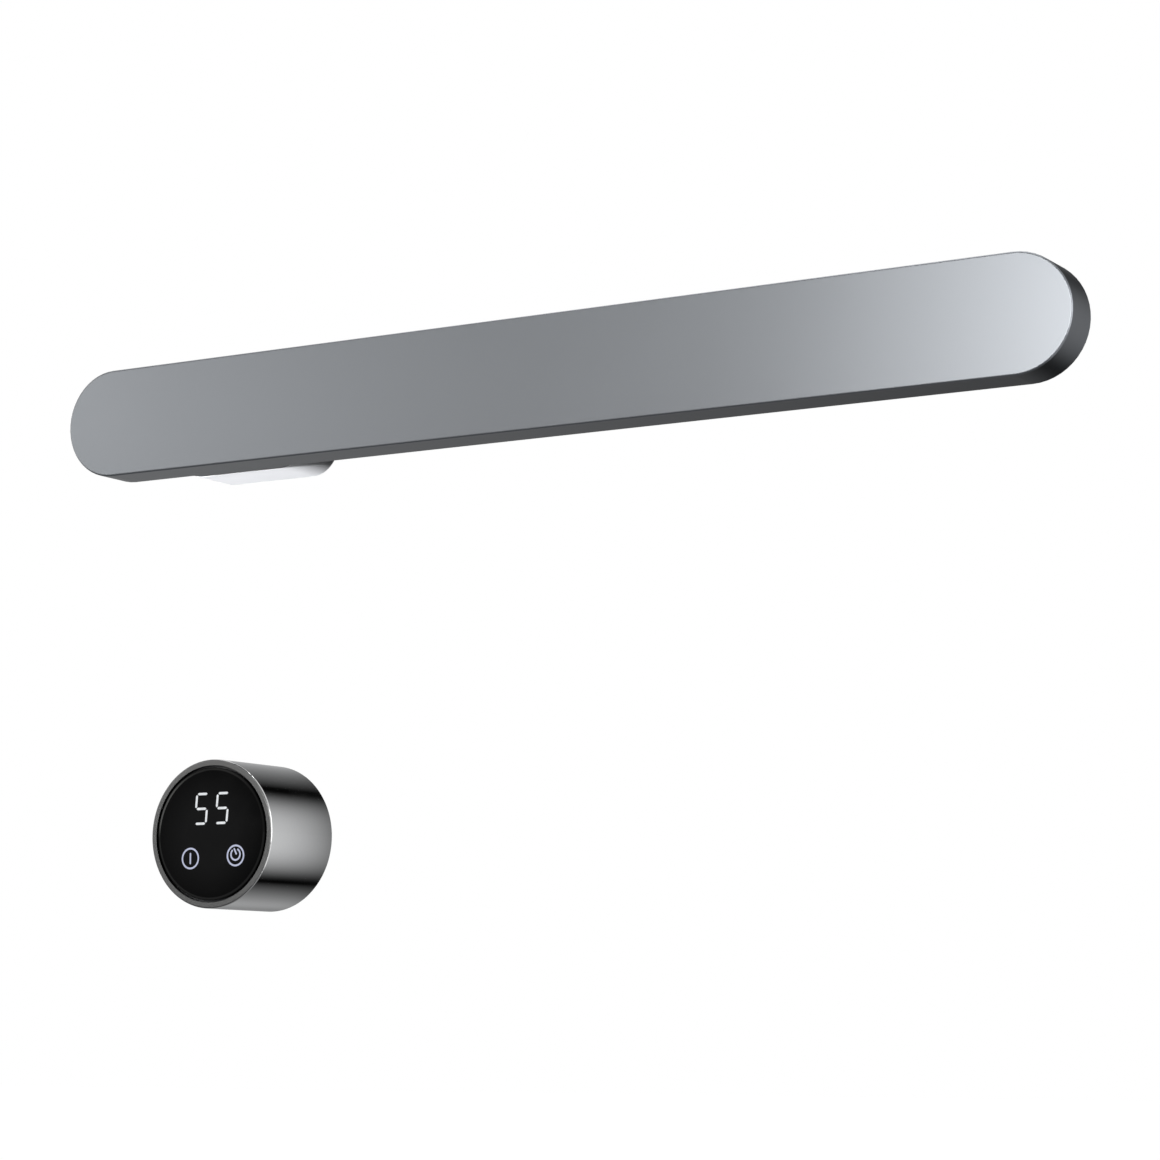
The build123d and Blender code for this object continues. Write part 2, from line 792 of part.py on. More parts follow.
# Places in the control that follow from its sizes
sleeve_bore = control_radius - sleeve_skin
lip_bore = control_radius - rim_width
glass_radius = lip_bore - glass_gap
glass_back = control_depth - glass_thickness
lip_back = control_depth - lip_depth
seal_back = glass_back - seal_thickness
front_wall_back = seal_back - front_wall
land_radius = sleeve_bore - run_gap - glide_thickness
flange_radius = sleeve_bore - flange_gap
front_glide_front = lip_back - end_float
front_glide_back = front_glide_front - glide_width
base_back = plate_thickness + head_room
base_front = base_back + base_thickness
wheel_back = base_front + base_gap
wheel_front = wheel_back + wheel_thickness
gear_back = wheel_back - ring_gear_side
gear_front = wheel_front + ring_gear_side
rear_glide_back = gear_front + end_float
rear_glide_front = rear_glide_back + glide_width
ring_pitch_radius = sleeve_bore - ring_gear_band
tooth_module = 2 * ring_pitch_radius / ring_tooth_count
tooth_tip = tooth_module * tooth_tip_share
tooth_root = tooth_module * tooth_root_share
wheel_pitch_radius = wheel_tooth_count * tooth_module / 2
wheel_up = ring_pitch_radius - wheel_pitch_radius
housing_radius = ring_pitch_radius - tooth_tip - tooth_gap
housing_bore = housing_radius - housing_skin
encoder_back = wheel_front + encoder_gap
power_board_back = encoder_back + encoder_height
power_board_front = power_board_back + board_thickness
display_board_front = front_wall_back - led_gap - led_height
display_board_back = display_board_front - board_thickness
board_radius = housing_bore - board_gap
board_screw_circle = board_radius - board_boss_radius
base_screw_circle = housing_bore - base_boss_radius + base_boss_sink


def control_plane(out):
    """Plane across the control's axis that faces the room."""
    return wall_plane(out, control_offset, -control_drop)


def control_facing_wall(out):
    """Plane across the control's axis that faces the wall."""
    return facing_wall(out, control_offset, -control_drop)


def tooth_outline(pitch_radius, outward):
    """Four corners of the tooth on the +X side; outward is 1 for a wheel and -1 for a ring."""
    tip = pitch_radius + outward * tooth_tip
    root = pitch_radius - outward * (tooth_root + tooth_gap)
    half = tooth_module * pi * tooth_width_share / 2
    tip_half = half - tooth_tip * tooth_narrowing_share
    root_half = half + tooth_root * tooth_narrowing_share
    return [(root, -root_half), (root, root_half), (tip, tip_half), (tip, -tip_half)]


def key_places():
    return Locations((-power_key_left, -power_key_down), (timer_key_right, -timer_key_down))


def board_screw_places():
    return PolarLocations(board_screw_circle, board_screw_count, start_angle=board_screw_start_angle)


def base_screw_places():
    return PolarLocations(base_screw_circle, base_screw_count, start_angle=base_screw_start_angle)


def hub_lug_places(turn):
    """Places of the bayonet lugs round the hub, turned on from where they stand when locked."""
    return PolarLocations(hub_radius, hub_lug_count, start_angle=base_screw_start_angle + turn)


# Turning sleeve with the rim turned in around the glass
with BuildPart() as control_sleeve:
    with BuildSketch(control_plane(sleeve_wall_gap)):
        Circle(control_radius)
    extrude(amount=control_depth - sleeve_wall_gap)
    fillet(control_sleeve.faces().sort_by(Axis.Y)[0].edges(), sleeve_front_round)
    chamfer(control_sleeve.faces().sort_by(Axis.Y)[-1].edges(), sleeve_rear_chamfer)
    with BuildSketch(control_plane(sleeve_wall_gap)):
        Circle(sleeve_bore)
    extrude(amount=lip_back - sleeve_wall_gap, mode=Mode.SUBTRACT)
    with BuildSketch(control_plane(lip_back)):
        Circle(lip_bore)
    extrude(amount=lip_depth, mode=Mode.SUBTRACT)

# Toothed ring pressed into the sleeve's rear end
with BuildPart() as sleeve_ring_gear:
    with BuildSketch(control_plane(gear_back)):
        Circle(sleeve_bore)
        Circle(ring_pitch_radius + tooth_root, mode=Mode.SUBTRACT)
        with PolarLocations(0, ring_tooth_count):
            Polygon(*tooth_outline(ring_pitch_radius, -1), align=None)
    extrude(amount=gear_front - gear_back)

# Wheel of the rotary encoder with its shaft, driven by the toothed ring
with BuildPart() as encoder_wheel:
    with BuildSketch(control_plane(wheel_back)):
        with Locations((0, wheel_up)):
            Circle(wheel_pitch_radius - tooth_root)
            with PolarLocations(0, wheel_tooth_count, start_angle=180 / wheel_tooth_count):
                Polygon(*tooth_outline(wheel_pitch_radius, 1), align=None)
    extrude(amount=wheel_thickness)
    with BuildSketch(control_plane(wheel_front)):
        with Locations((0, wheel_up)):
            Circle(wheel_shaft)
    extrude(amount=encoder_gap + wheel_shaft_engagement)

# Encoder on the wall side of the power board
with BuildPart() as encoder_body:
    with BuildSketch(control_plane(encoder_back)):
        with Locations((0, wheel_up)):
            Rectangle(encoder_side, encoder_side)
    extrude(amount=encoder_height)
    chamfer(encoder_body.edges().filter_by(Axis.Y), block_chamfer)
    with BuildSketch(control_plane(encoder_back)):
        with Locations((0, wheel_up)):
            Circle(wheel_shaft + run_gap)
    extrude(amount=wheel_shaft_engagement + end_float, mode=Mode.SUBTRACT)

# Housing: a cup with its closed end behind the glass, two lands for the glide rings and bosses
with BuildPart() as control_housing:
    with BuildSketch(control_plane(base_front)):
        Circle(housing_radius)
    extrude(amount=seal_back - base_front)
    with BuildSketch(control_plane(rear_glide_back)):
        Circle(land_radius)
    extrude(amount=glide_width)
    with BuildSketch(control_plane(rear_glide_front)):
        Circle(flange_radius)
    extrude(amount=flange_thickness)
    with BuildSketch(control_plane(front_glide_back - flange_thickness)):
        Circle(flange_radius)
    extrude(amount=flange_thickness)
    with BuildSketch(control_plane(front_glide_back)):
        Circle(land_radius)
    extrude(amount=seal_back - front_glide_back)
    with BuildSketch(control_plane(base_front)):
        Circle(housing_bore)
    extrude(amount=front_wall_back - base_front, mode=Mode.SUBTRACT)
    with BuildSketch(control_plane(display_board_front)):
        with board_screw_places():
            Circle(board_boss_radius)
    extrude(amount=front_wall_back - display_board_front)
    with BuildSketch(control_plane(display_board_front)):
        with board_screw_places():
            Circle(board_pillar_stud + thread_gap)
    extrude(amount=board_pillar_stud_length, mode=Mode.SUBTRACT)
    with BuildSketch(control_plane(base_front)):
        with base_screw_places():
            Circle(base_boss_radius)
    extrude(amount=base_boss_height)
    with BuildSketch(control_plane(base_front)):
        with base_screw_places():
            Circle(base_screw_radius + thread_gap)
    extrude(amount=base_boss_height, mode=Mode.SUBTRACT)
    with BuildSketch(control_plane(base_front)):
        with Locations((0, wheel_up)):
            Circle(wheel_pitch_radius + tooth_tip + wheel_room)
    extrude(amount=gear_front - base_front, mode=Mode.SUBTRACT)
    with BuildSketch(control_plane(front_wall_back)):
        with Locations((digit_shift, digit_up)):
            Rectangle(led_length, led_width)
        with key_places():
            Circle(touch_spring_radius + touch_spring_room)
    extrude(amount=front_wall, mode=Mode.SUBTRACT)

# Glide rings that the sleeve turns on
with BuildPart() as rear_glide_ring:
    with BuildSketch(control_plane(rear_glide_back)):
        Circle(land_radius + glide_thickness)
        Circle(land_radius, mode=Mode.SUBTRACT)
    extrude(amount=glide_width)

with BuildPart() as front_glide_ring:
    with BuildSketch(control_plane(front_glide_back)):
        Circle(land_radius + glide_thickness)
        Circle(land_radius, mode=Mode.SUBTRACT)
    extrude(amount=glide_width)

# Adhesive seal between the housing and the glass
with BuildPart() as glass_seal:
    with BuildSketch(control_plane(seal_back)):
        Circle(glass_radius - seat_gap)
        Circle(glass_radius - seal_width, mode=Mode.SUBTRACT)
    extrude(amount=seal_thickness)


def segment_outline(length):
    """Six corners of a lit bar of the display, lying along X."""
    half = length / 2 - segment_end_gap
    side = segment_width / 2
    return [(-half, 0), (side - half, side), (half - side, side),
            (half, 0), (half - side, -side), (side - half, -side)]


# The five lit bars of a 5, each as its centre, its turn and its length, upright before the slant
half_digit = digit_height / 2
five_bars = [
    (0, half_digit, 0, digit_width),
    (-digit_width / 2, half_digit / 2, 90, half_digit),
    (0, 0, 0, digit_width),
    (digit_width / 2, -half_digit / 2, 90, half_digit),
    (0, -half_digit, 0, digit_width),
]


def slanted(across, up):
    return (across + up * digit_slant_share, up)


def bar_corners(centre_across, centre_up, turn, length):
    """Corners of one bar of a digit, turned, moved to its centre and slanted with the digit."""
    corners = []
    for along, aside in segment_outline(length):
        across, up = (along, aside) if turn == 0 else (-aside, along)
        corners.append(slanted(centre_across + across, centre_up + up))
    return corners


with BuildSketch(control_plane(control_depth - inlay_depth)) as digit_sketch:
    for side in (-1, 1):
        with Locations((digit_shift + side * digit_apart / 2, digit_up)):
            for bar in five_bars:
                Polygon(*bar_corners(*bar), align=None)

with BuildPart() as lit_digits:
    extrude(digit_sketch.sketch, amount=inlay_depth)

# Key marks: a bar in a ring for power, and a dial with a hand in a ring for the timer
with BuildSketch(control_plane(control_depth - inlay_depth)) as key_sketch:
    with key_places():
        Circle(key_ring_radius)
        Circle(key_ring_radius - key_stroke, mode=Mode.SUBTRACT)
    with Locations((-power_key_left, -power_key_down)):
        SlotOverall(power_bar_length, key_stroke, rotation=90)
    with BuildLine():
        CenterArc((timer_key_right, timer_dial_up - timer_key_down), timer_dial_radius - key_stroke / 2,
                  90 + timer_dial_turn_angle + timer_dial_open_angle / 2, 360 - timer_dial_open_angle)
    trace(line_width=key_stroke)
    with Locations((timer_key_right - timer_hand_left, timer_hand_up - timer_key_down)):
        SlotOverall(timer_hand_length, key_stroke, rotation=90 + timer_hand_lean_angle)

with BuildPart() as key_marks:
    extrude(key_sketch.sketch, amount=inlay_depth)

# Glass front with pockets for the marks
with BuildPart() as glass_panel:
    with BuildSketch(control_plane(glass_back)):
        Circle(glass_radius)
    extrude(amount=glass_thickness)
    glass_front = glass_panel.faces().sort_by(Axis.Y)[0]
    chamfer(glass_front.edges(), glass_bevel_width, glass_bevel_depth, reference=glass_front)
    extrude(digit_sketch.sketch, amount=inlay_depth, mode=Mode.SUBTRACT)
    extrude(key_sketch.sketch, amount=inlay_depth, mode=Mode.SUBTRACT)

# Display board behind the glass, on the housing's front bosses
with BuildPart() as display_board:
    with BuildSketch(control_plane(display_board_back)):
        Circle(board_radius)
        with board_screw_places():
            Circle(board_pillar_stud + seat_gap, mode=Mode.SUBTRACT)
    extrude(amount=board_thickness)

# Two-digit light module
with BuildPart() as display_module:
    with BuildSketch(control_plane(display_board_front)):
        with Locations((digit_shift, digit_up)):
            Rectangle(led_length - 2 * seat_gap, led_width - 2 * seat_gap)
    extrude(amount=led_height)
    chamfer(display_module.edges().filter_by(Axis.Y), block_chamfer)

# Springs that carry the touch of a finger from the glass to the board
with BuildPart() as touch_springs:
    with BuildSketch(control_plane(display_board_front)):
        with key_places():
            Circle(touch_spring_radius)
            Circle(touch_spring_radius - touch_spring_skin, mode=Mode.SUBTRACT)
    extrude(amount=glass_back - display_board_front)

# Buzzer under the display board
with BuildPart() as buzzer:
    with BuildSketch(control_plane(display_board_back - buzzer_height)):
        with Locations((0, -buzzer_drop)):
            Circle(buzzer_radius)
    extrude(amount=buzzer_height)
    chamfer(buzzer.faces().sort_by(Axis.Y)[-1].edges(), block_chamfer)

# Pin header between the boards
with BuildPart() as board_link:
    with BuildSketch(control_plane(power_board_front)):
        with Locations((0, -link_drop)):
            Rectangle(link_length, link_width)
    extrude(amount=display_board_back - power_board_front)

# Pillars between the boards, with studs that hold the display board to the housing
with BuildPart() as board_pillars:
    with BuildSketch(control_plane(power_board_front)):
        with board_screw_places():
            Circle(board_pillar_radius)
    extrude(amount=display_board_back - power_board_front)
    with BuildSketch(control_plane(display_board_back)):
        with board_screw_places():
            Circle(board_pillar_stud)
    extrude(amount=board_thickness + board_pillar_stud_length - seat_gap)
    with BuildSketch(control_plane(power_board_front)):
        with board_screw_places():
            Circle(board_pillar_stud + thread_gap)
    extrude(amount=board_screw_length, mode=Mode.SUBTRACT)

# Power board
with BuildPart() as power_board:
    with BuildSketch(control_plane(power_board_back)):
        Circle(board_radius)
        with board_screw_places():
            Circle(board_pillar_stud + seat_gap, mode=Mode.SUBTRACT)
    extrude(amount=board_thickness)

# Screws that hold the power board to the pillars
with BuildPart() as power_board_screws:
    with BuildSketch(control_plane(power_board_back - board_screw_head_height)):
        with board_screw_places():
            Circle(board_screw_head)
    extrude(amount=board_screw_head_height)
    with BuildSketch(control_plane(power_board_back)):
        with board_screw_places():
            Circle(board_pillar_stud)
    extrude(amount=board_screw_length)

# Relay, power supply, capacitor and varistor on the power board
with BuildPart() as heater_relay:
    with BuildSketch(control_plane(power_board_front)):
        with Locations((-relay_left, relay_up)):
            Rectangle(relay_width, relay_length)
    extrude(amount=relay_height)
    chamfer(heater_relay.edges().filter_by(Axis.Y), block_chamfer)

with BuildPart() as power_supply:
    with BuildSketch(control_plane(power_board_front)):
        with Locations((supply_right, supply_up)):
            Rectangle(supply_length, supply_width)
    extrude(amount=supply_height)
    chamfer(power_supply.edges().filter_by(Axis.Y), block_chamfer)

with BuildPart() as supply_capacitor:
    with BuildSketch(control_plane(power_board_front)):
        with Locations((-capacitor_left, -capacitor_down)):
            Circle(capacitor_radius)
    extrude(amount=capacitor_height)
    chamfer(supply_capacitor.faces().sort_by(Axis.Y)[0].edges(), block_chamfer)

with BuildPart() as surge_varistor:
    with BuildSketch(Plane(origin=(control_offset + varistor_right,
                                   -(power_board_front + varistor_stand),
                                   -control_drop - varistor_down), z_dir=(0, 0, 1))):
        Circle(varistor_radius)
    extrude(amount=varistor_thickness, both=True)

# Terminal block for the supply, on the wall side of the power board
with BuildPart() as control_terminal_block:
    with BuildSketch(control_plane(power_board_back - control_terminal_height)):
        Rectangle(control_terminal_length, control_terminal_width)
    extrude(amount=control_terminal_height)
    chamfer(control_terminal_block.edges().filter_by(Axis.Y), block_chamfer)
    with BuildSketch(control_plane(power_board_back - control_terminal_height)):
        with GridLocations(control_pole_pitch, 0, control_pole_count, 1):
            Circle(control_pole_radius)
    extrude(amount=control_pole_depth, mode=Mode.SUBTRACT)

# Base that closes the housing and locks on the wall plate's lugs
with BuildPart() as control_base:
    with BuildSketch(control_plane(base_back)):
        Circle(housing_radius)
        Circle(hub_radius + base_gap, mode=Mode.SUBTRACT)
        with hub_lug_places(hub_lug_turn_angle):
            Rectangle(2 * (hub_lug_length + base_gap), hub_lug_width + 2 * base_gap,
                      mode=Mode.SUBTRACT)
    extrude(amount=base_thickness)
    with Locations(control_facing_wall(base_back)):
        with PolarLocations(base_screw_circle, base_screw_count, start_angle=-base_screw_start_angle):
            CounterSinkHole(base_screw_radius + hole_gap, base_screw_head + hole_gap,
                            base_thickness, counter_sink_angle=90)

with BuildPart() as base_screws:
    with BuildSketch(control_plane(base_back)):
        with base_screw_places():
            Circle(base_screw_head)
    extrude(amount=base_screw_head - base_screw_radius, taper=45)
    with BuildSketch(control_plane(base_back)):
        with base_screw_places():
            Circle(base_screw_radius)
    extrude(amount=base_screw_length)
    with BuildSketch(control_plane(base_back)):
        with base_screw_places():
            RegularPolygon(base_screw_socket, 6, major_radius=False)
    extrude(amount=base_screw_socket_depth, mode=Mode.SUBTRACT)

# Wall plate of the control: a disc with a hub, a shoulder for the base and bayonet lugs
lug_back = base_front + seat_gap
with BuildPart() as control_wall_plate:
    with BuildSketch(control_plane(0)):
        Circle(housing_radius - plate_margin)
    extrude(amount=plate_thickness)
    with BuildSketch(control_plane(plate_thickness)):
        Circle(hub_shoulder)
    extrude(amount=head_room)
    with BuildSketch(control_plane(base_back)):
        Circle(hub_radius)
    extrude(amount=lug_back + hub_lug_height - base_back)
    with BuildSketch(control_plane(lug_back)):
        with hub_lug_places(0):
            Rectangle(2 * hub_lug_length, hub_lug_width)
    extrude(amount=hub_lug_height)
    with BuildSketch(control_plane(0)):
        Circle(hub_radius - hub_skin)
        with GridLocations(control_screw_across, 0, 2, 1):
            Circle(control_screw_hole)
    extrude(amount=lug_back + hub_lug_height, mode=Mode.SUBTRACT)

# Grommet in the hub
with BuildPart() as control_grommet:
    with BuildSketch(control_plane(0)):
        Circle(hub_radius - hub_skin - seat_gap)
        Circle(control_grommet_bore, mode=Mode.SUBTRACT)
    extrude(amount=control_grommet_depth)

finished = {
    "bar_front_shell": bar_front_shell,
    "bar_rear_cover": bar_rear_cover,
    "bar_inner_pan": bar_inner_pan,
    "post_anchor_block": post_anchor_block,
    "stud_spacers": stud_spacers,
    "stud_nuts": stud_nuts,
    "cover_pillars": cover_pillars,
    "cover_screws": cover_screws,
    "heater_front_sheet": heater_front_sheet,
    "heater_track": heater_track,
    "heater_rear_sheet": heater_rear_sheet,
    "heat_spreader": heat_spreader,
    "heater_lead_cap": heater_lead_cap,
    "thermal_fuse": thermal_fuse,
    "temperature_sensor": temperature_sensor,
    "live_lead": live_lead,
    "neutral_lead": neutral_lead,
    "sensor_lead": sensor_lead,
    "lead_bush": lead_bush,
    "mount_post": mount_post,
    "post_screws": post_screws,
    "wall_collar": wall_collar,
    "wall_bracket": wall_bracket,
    "post_grub_screws": post_grub_screws,
    "bracket_grommet": bracket_grommet,
    "bracket_terminal_block": bracket_terminal_block,
    "terminal_ear_screws": terminal_ear_screws,
    "terminal_pole_screws": terminal_pole_screws,
    "earth_lug": earth_lug,
    "earth_screw": earth_screw,
    "earth_lead": earth_lead,
    "control_sleeve": control_sleeve,
    "sleeve_ring_gear": sleeve_ring_gear,
    "encoder_wheel": encoder_wheel,
    "encoder_body": encoder_body,
    "control_housing": control_housing,
    "rear_glide_ring": rear_glide_ring,
    "front_glide_ring": front_glide_ring,
    "glass_seal": glass_seal,
    "glass_panel": glass_panel,
    "lit_digits": lit_digits,
    "key_marks": key_marks,
    "display_board": display_board,
    "display_module": display_module,
    "touch_springs": touch_springs,
    "buzzer": buzzer,
    "board_link": board_link,
    "board_pillars": board_pillars,
    "power_board": power_board,
    "power_board_screws": power_board_screws,
    "heater_relay": heater_relay,
    "power_supply": power_supply,
    "supply_capacitor": supply_capacitor,
    "surge_varistor": surge_varistor,
    "control_terminal_block": control_terminal_block,
    "control_base": control_base,
    "base_screws": base_screws,
    "control_wall_plate": control_wall_plate,
    "control_grommet": control_grommet,
}

for label, piece in finished.items():
    piece.part.label = label
    export_step(piece.part, f"parts/{label}.step")
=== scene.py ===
from functools import partial
import json
import math

import bpy
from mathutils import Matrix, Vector


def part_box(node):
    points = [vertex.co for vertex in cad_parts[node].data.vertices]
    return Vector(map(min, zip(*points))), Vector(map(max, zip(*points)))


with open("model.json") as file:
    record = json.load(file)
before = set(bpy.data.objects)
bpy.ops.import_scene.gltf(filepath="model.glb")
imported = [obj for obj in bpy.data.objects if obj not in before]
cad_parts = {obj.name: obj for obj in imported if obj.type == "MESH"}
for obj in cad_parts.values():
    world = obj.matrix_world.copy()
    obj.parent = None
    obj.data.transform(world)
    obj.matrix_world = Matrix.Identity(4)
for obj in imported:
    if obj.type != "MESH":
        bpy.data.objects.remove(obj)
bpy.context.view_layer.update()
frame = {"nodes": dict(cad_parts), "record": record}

# Metres, in the row frame: the wall is the plane y = 0, the room is on its -Y side, +Z is up.

# Camera: fitted to the photograph's edges
camera_place = Vector((1.0595, -1.46, -0.3317))
camera_aim = Vector((-0.49901, 0.85507, 0.14087))
camera_lens = 96.54
sensor_width = 36.0

# Studio
floor_height = -1.15
floor_side = 60.0
floor_paint = (0.9, 0.9, 0.9, 1.0)
floor_glow = 1.2
floor_glow_share = 0.75
room_light = 0.5
card_tint = (0.98, 0.99, 1.0, 1.0)
into_room = (0, -1, 0)
towards_wall = (0, 1, 0)
leftwards = (-1, 0, 0)
upwards = (0, 0, 1)
downwards = (0, 0, -1)

white = (1.0, 1.0, 1.0, 1.0)
black = (0.0, 0.0, 0.0, 1.0)

# Nearly all values of a noise texture lie between these
noise_low = 0.3
noise_high = 0.7

# The control: its sleeve turns about an axis through the middle of its box
sleeve_low, sleeve_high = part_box("control_sleeve")
sleeve_centre = (sleeve_low + sleeve_high) / 2
sleeve_radius = (sleeve_high.x - sleeve_low.x) / 2
glass_low, glass_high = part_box("glass_panel")
glass_radius = (glass_high.x - glass_low.x) / 2

scene = bpy.context.scene
scene.view_settings.view_transform = "Standard"


def plug(tree, socket, value):
    """Sets an input to a value or to another node's output."""
    if isinstance(value, bpy.types.NodeSocket):
        tree.links.new(value, socket)
    else:
        socket.default_value = value


def feed(tree, node, inputs):
    """Sets several inputs of one node by their names."""
    for name, value in inputs.items():
        plug(tree, node.inputs[name], value)


def add(tree, kind, inputs=None, **settings):
    """One node with its settings and inputs."""
    node = tree.nodes.new(kind)
    for name, value in settings.items():
        setattr(node, name, value)
    feed(tree, node, inputs or {})
    return node


def maths(tree, operation, *values):
    """Result of one Math node."""
    node = add(tree, "ShaderNodeMath", operation=operation)
    for socket, value in zip(node.inputs, values):
        plug(tree, socket, value)
    return node.outputs[0]


def total(tree, first, *others):
    """Sum of several values."""
    for other in others:
        first = maths(tree, "ADD", first, other)
    return first


def product(tree, first, *others):
    """Product of several values."""
    for other in others:
        first = maths(tree, "MULTIPLY", first, other)
    return first


def remap(tree, value, low, high, to_low, to_high, smooth=False):
    """Value carried from one range to another and held inside it."""
    node = add(tree, "ShaderNodeMapRange", {
        "Value": value, "From Min": low, "From Max": high, "To Min": to_low, "To Max": to_high,
    }, interpolation_type="SMOOTHSTEP" if smooth else "LINEAR")
    return node.outputs["Result"]


def over_noise(tree, value, to_low, to_high):
    """Noise carried to a range."""
    return remap(tree, value, noise_low, noise_high, to_low, to_high)


def colour_mix(tree, factor, first, second):
    """Colour between two, by a factor."""
    node = add(tree, "ShaderNodeMix", data_type="RGBA")
    inputs = {socket.identifier: socket for socket in node.inputs}
    plug(tree, inputs["Factor_Float"], factor)
    plug(tree, inputs["A_Color"], first)
    plug(tree, inputs["B_Color"], second)
    return next(socket for socket in node.outputs if socket.identifier == "Result_Color")


def noise(tree, place, scale, detail=2.0):
    node = add(tree, "ShaderNodeTexNoise", {"Vector": place, "Scale": scale, "Detail": detail})
    return node.outputs["Fac"]


def stretched(tree, place, stretch):
    """Place scaled along each axis, for grain that runs one way."""
    return add(tree, "ShaderNodeMapping", {"Vector": place, "Scale": stretch}).outputs["Vector"]


def bump(tree, height, strength, depth):
    node = add(tree, "ShaderNodeBump", {"Height": height, "Strength": strength, "Distance": depth})
    return node.outputs["Normal"]


def shades(tree, factor, colour, darkest, lightest):
    """Colour made darker or lighter by a factor between 0 and 1."""
    dark, light = ((*(channel * gain for channel in colour), 1.0) for gain in (darkest, lightest))
    return colour_mix(tree, factor, dark, light)


def distance(tree, across, up):
    """Length of the line with these two legs."""
    squares = total(tree, product(tree, across, across), product(tree, up, up))
    return maths(tree, "SQRT", squares)


def from_axis(tree, spot):
    """How far a spot lies from the control's turning axis, to the right and upwards."""
    across = maths(tree, "SUBTRACT", spot.outputs["X"], sleeve_centre.x)
    up = maths(tree, "SUBTRACT", spot.outputs["Z"], sleeve_centre.z)
    return across, up


def new_material(name):
    """Material with a Principled shader; gives its tree, its shader and the place on the object."""
    material = bpy.data.materials.new(name)
    material.use_nodes = True
    tree = material.node_tree
    shader = next(node for node in tree.nodes if node.type == "BSDF_PRINCIPLED")
    place = add(tree, "ShaderNodeTexCoord").outputs["Object"]
    return material, tree, shader, place


def satin_metal(name, colour, roughness):
    """Blasted metal: fine grain in the finish and faint patches where it is handled."""
    material, tree, shader, place = new_material(name)
    fine = noise(tree, place, scale=2600.0, detail=3.0)
    broad = noise(tree, place, scale=9.0, detail=4.0)
    rough_swing = 0.01
    rough_patch = over_noise(tree, broad, roughness - rough_swing, roughness + rough_swing)
    rough_grain = over_noise(tree, fine, -rough_swing, rough_swing)
    feed(tree, shader, {
        "Base Color": shades(tree, over_noise(tree, broad, 0.0, 1.0), colour, darkest=0.99, lightest=1.01),
        "Roughness": total(tree, rough_patch, rough_grain),
        "Normal": bump(tree, fine, strength=0.012, depth=0.00002),
        "Metallic": 1.0,
    })
    return material


def polished_sleeve(name):
    """Polished barrel and edge, with a satin rim round the glass, and painted shade that darkens the wall
    inside the rim almost to black, for the gap round the glass.
    """
    material, tree, shader, place = new_material(name)
    satin_depth = 0.00045
    rim_width = 0.0025
    rim_fade = 0.0004
    wall_fade = 0.0001
    rim_colour = (0.122, 0.122, 0.123, 1.0)
    barrel_colour = (0.68, 0.68, 0.68, 1.0)
    # Painted shade: colour of the wall inside the rim, nearly black
    recess_shade_colour = (0.015, 0.015, 0.015, 1.0)
    smear_low = 0.35
    smear_high = 0.75
    clean_roughness = 0.075
    smeared_roughness = 0.115
    lathe_stretch = (12.0, 900.0, 12.0)

    spot = add(tree, "ShaderNodeSeparateXYZ", {"Vector": place})
    depth = spot.outputs["Y"]
    front = sleeve_low.y
    barrel = remap(tree, depth, front + satin_depth / 2, front + satin_depth, 0.0, 1.0)
    smears = noise(tree, place, scale=45.0, detail=5.0)
    polish = remap(tree, smears, smear_low, smear_high, clean_roughness, smeared_roughness)
    satin = over_noise(tree, noise(tree, place, scale=2200.0), to_low=0.33, to_high=0.39)
    roughness = add(tree, "ShaderNodeMix", {"Factor": barrel, "A": satin, "B": polish})

    # Painted shade on the wall inside the rim: inside the rim's radius and just behind its front
    wall_radius = sleeve_radius - rim_width
    away = distance(tree, *from_axis(tree, spot))
    inside = remap(tree, away, wall_radius, wall_radius + rim_fade, 1.0, 0.0)
    painted_recess_shade = product(tree, inside, remap(tree, depth, front, front + wall_fade, 0.0, 1.0))
    outside = colour_mix(tree, barrel, rim_colour, barrel_colour)
    lathe = noise(tree, stretched(tree, place, lathe_stretch), scale=1.0)
    feed(tree, shader, {
        "Base Color": colour_mix(tree, painted_recess_shade, outside, recess_shade_colour),
        "Roughness": roughness.outputs["Result"],
        "Normal": bump(tree, lathe, strength=0.05, depth=0.00002),
        "Metallic": 1.0,
    })
    return material


def collar_paint(name):
    """Pale silver paint with a faint orange peel."""
    material, tree, shader, place = new_material(name)
    dark_silver = (0.8, 0.81, 0.84, 1.0)
    light_silver = (0.86, 0.87, 0.9, 1.0)
    peel = noise(tree, place, scale=520.0)
    tone = over_noise(tree, noise(tree, place, scale=25.0, detail=3.0), 0.0, 1.0)
    feed(tree, shader, {
        "Base Color": colour_mix(tree, tone, dark_silver, light_silver),
        "Roughness": over_noise(tree, peel, to_low=0.36, to_high=0.42),
        "Normal": bump(tree, peel, strength=0.08, depth=0.00003),
        "Metallic": 0.5,
    })
    return material


